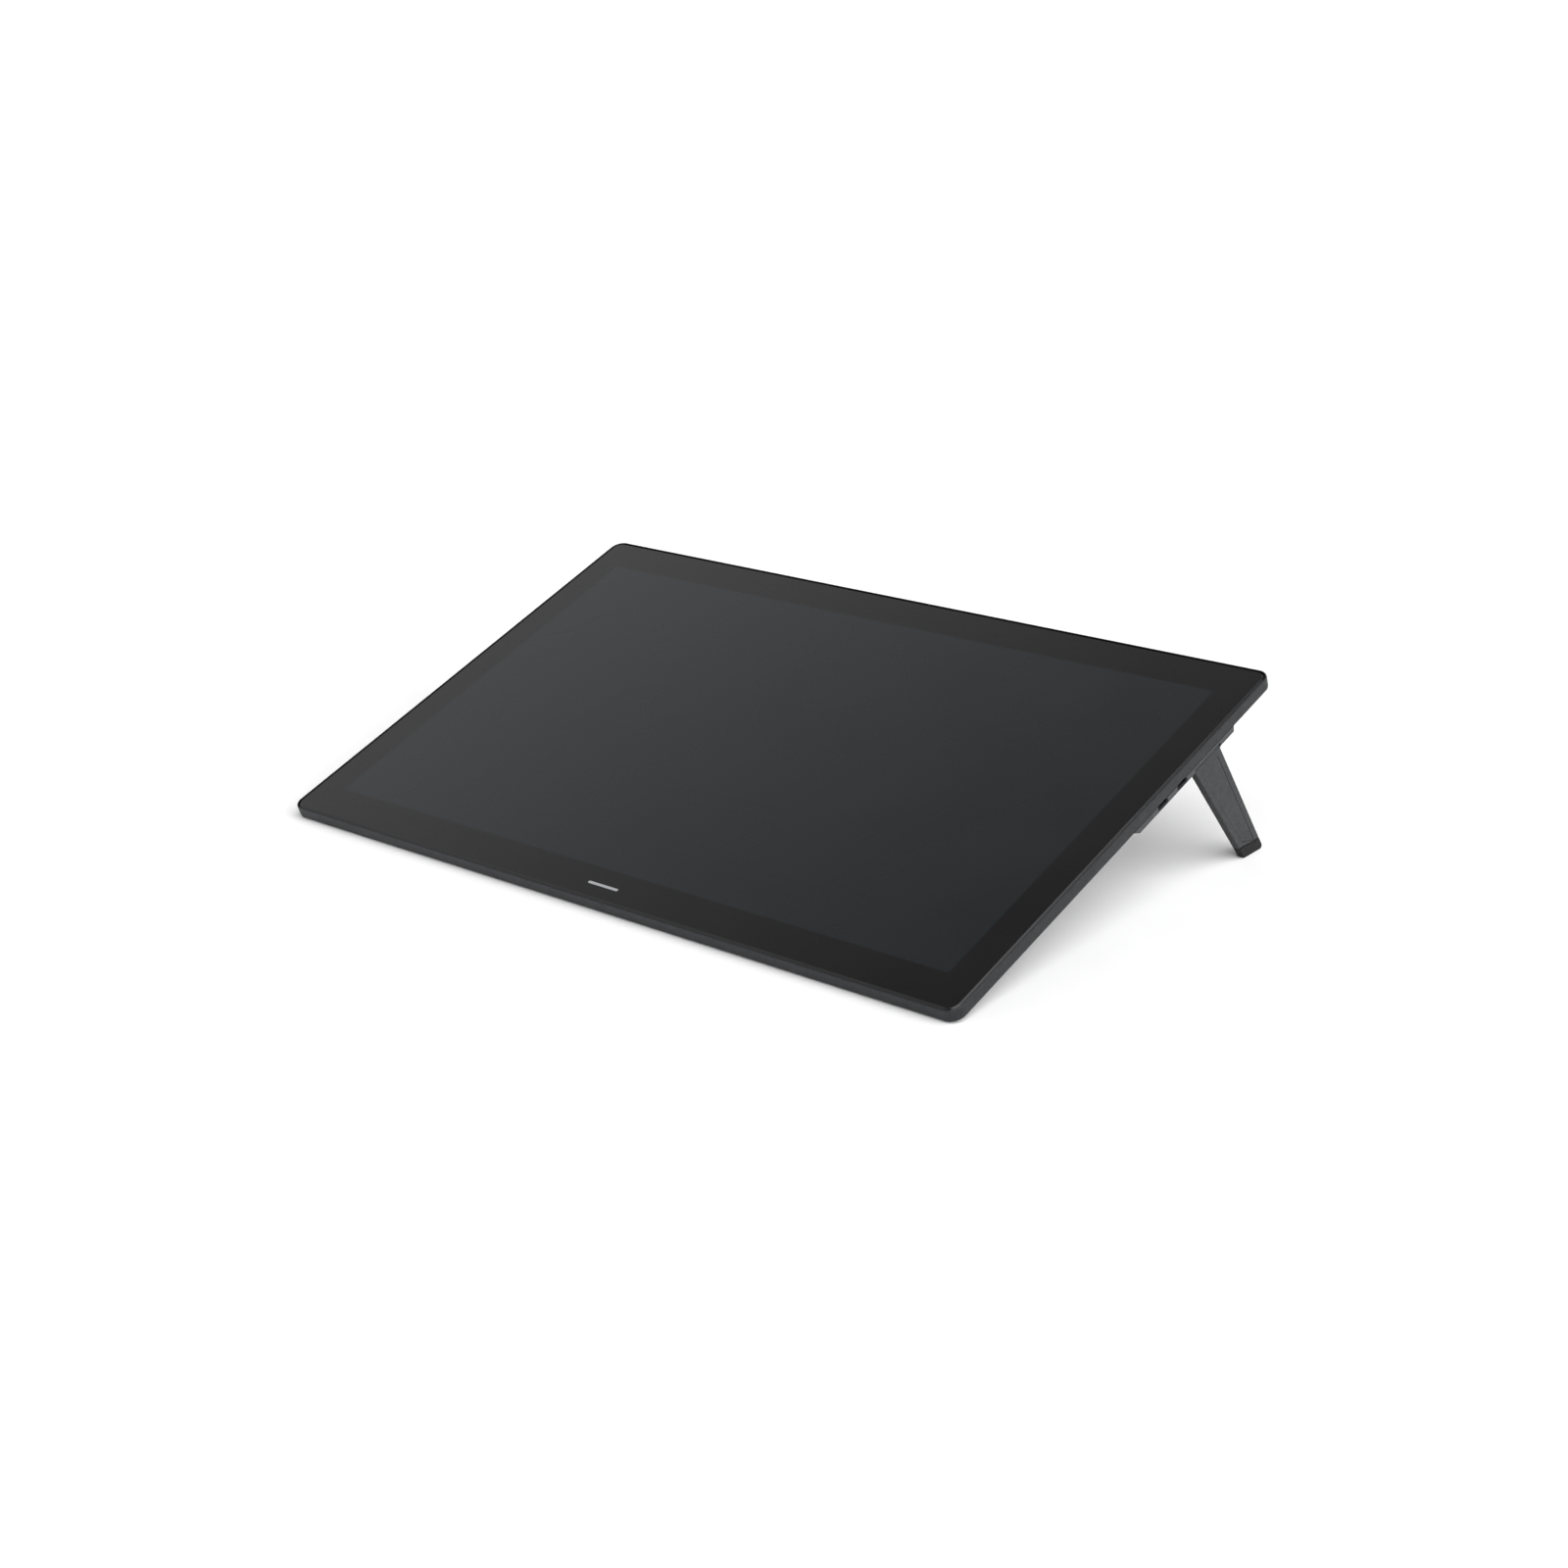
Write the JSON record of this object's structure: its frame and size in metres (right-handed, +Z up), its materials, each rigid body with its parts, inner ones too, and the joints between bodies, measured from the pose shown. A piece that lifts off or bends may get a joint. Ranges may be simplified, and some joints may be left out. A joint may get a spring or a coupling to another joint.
{
  "type": "pen display drawing tablet",
  "caption": "Thin glass-fronted pen display tablet in a dark metal frame, propped at a drawing angle on two fold-out rear legs, with side sockets and a power button.",
  "frame": {"origin": "under the middle of the bounding box, on the surface that the tablet stands on", "axes": "+X along the long side, to the right of someone who draws on it; +Y to the back, where the glass is higher; +Z up"},
  "size_m": [0.4478, 0.2642, 0.0921],
  "materials": {
    "front_glass": "fine etched anti-glare",
    "black_print": "matt printed ink",
    "black_foam": "closed-cell foam",
    "display_cell": "dark polariser",
    "diffuser_film": "translucent film",
    "clear_guide": "clear moulded",
    "white_film": "white film",
    "led_strip": "led strip",
    "tray_steel": "pressed sheet",
    "circuit_board": "solder resist",
    "flex_film": "polyimide film",
    "black_cable": "black tape",
    "dark_aluminium": "dark grey anodised, fine blasted",
    "dark_cover": "dark grey painted",
    "foot_rubber": "matt rubber",
    "black_screw": "black oxide",
    "chip_resin": "moulded resin",
    "thermal_pad": "soft pad",
    "plain_aluminium": "mill finish",
    "plain_screw": "zinc plated",
    "socket_steel": "plated shell",
    "dark_button": "satin",
    "hinge_steel": "nickel plated",
    "pin_steel": "polished",
    "washer_brass": "plain",
    "leg_aluminium": "grey anodised, fine blasted"
  },
  "bodies": {
    "tablet": {"front_glass": "front_glass", "bezel_mask": "black_print", "glass_gasket": "black_foam", "lcd_panel": "display_cell", "optical_sheets": "diffuser_film", "light_guide": "clear_guide", "reflector_sheet": "white_film", "backlight_strip": "led_strip", "backlight_tray": "tray_steel", "pen_sensor_board": "circuit_board", "sensor_shield": "tray_steel", "driver_board": "circuit_board", "panel_flexes": "flex_film", "display_cable": "black_cable", "mid_frame": "dark_aluminium", "rear_cover": "dark_cover", "front_feet": "foot_rubber", "case_screws": "black_screw", "main_board": "circuit_board", "main_chips": "chip_resin", "shield_can": "tray_steel", "thermal_pad": "thermal_pad", "heat_spreader": "plain_aluminium", "sensor_flex": "flex_film", "board_screws": "plain_screw", "port_board": "circuit_board", "port_flex": "white_film", "front_usb_socket": "socket_steel", "rear_usb_socket": "socket_steel", "power_switch": "chip_resin", "status_light_pipe": "clear_guide", "hinge_screws": "plain_screw", "right_hinge_bracket": "hinge_steel", "right_hinge_pin": "pin_steel", "right_friction_washers": "washer_brass", "left_hinge_bracket": "hinge_steel", "left_hinge_pin": "pin_steel", "left_friction_washers": "washer_brass"},
    "right_leg": {"right_leg_frame": "leg_aluminium", "right_leg_cover": "leg_aluminium", "right_leg_foot": "foot_rubber", "right_cover_screws": "black_screw"},
    "left_leg": {"left_leg_frame": "leg_aluminium", "left_leg_cover": "leg_aluminium", "left_leg_foot": "foot_rubber", "left_cover_screws": "black_screw"},
    "power_button": {"power_button": "dark_button"}
  },
  "joints": [
    {"name": "right_leg_fold", "type": "hinge", "parent": "tablet", "child": "right_leg", "pos_m": [0.22155, 0.07285, 0.06336], "axis": [0, 0.9511, 0.309], "range_deg": [0, 90]},
    {"name": "left_leg_fold", "type": "hinge", "parent": "tablet", "child": "left_leg", "pos_m": [-0.22155, 0.07285, 0.06336], "axis": [0, -0.9511, -0.309], "range_deg": [0, 90]},
    {"name": "power_button_press", "type": "slide", "parent": "tablet", "child": "power_button", "axis": [-1, 0, 0], "range_m": [0, 0.0004], "stiffness_N_per_m": 2500}
  ]
}
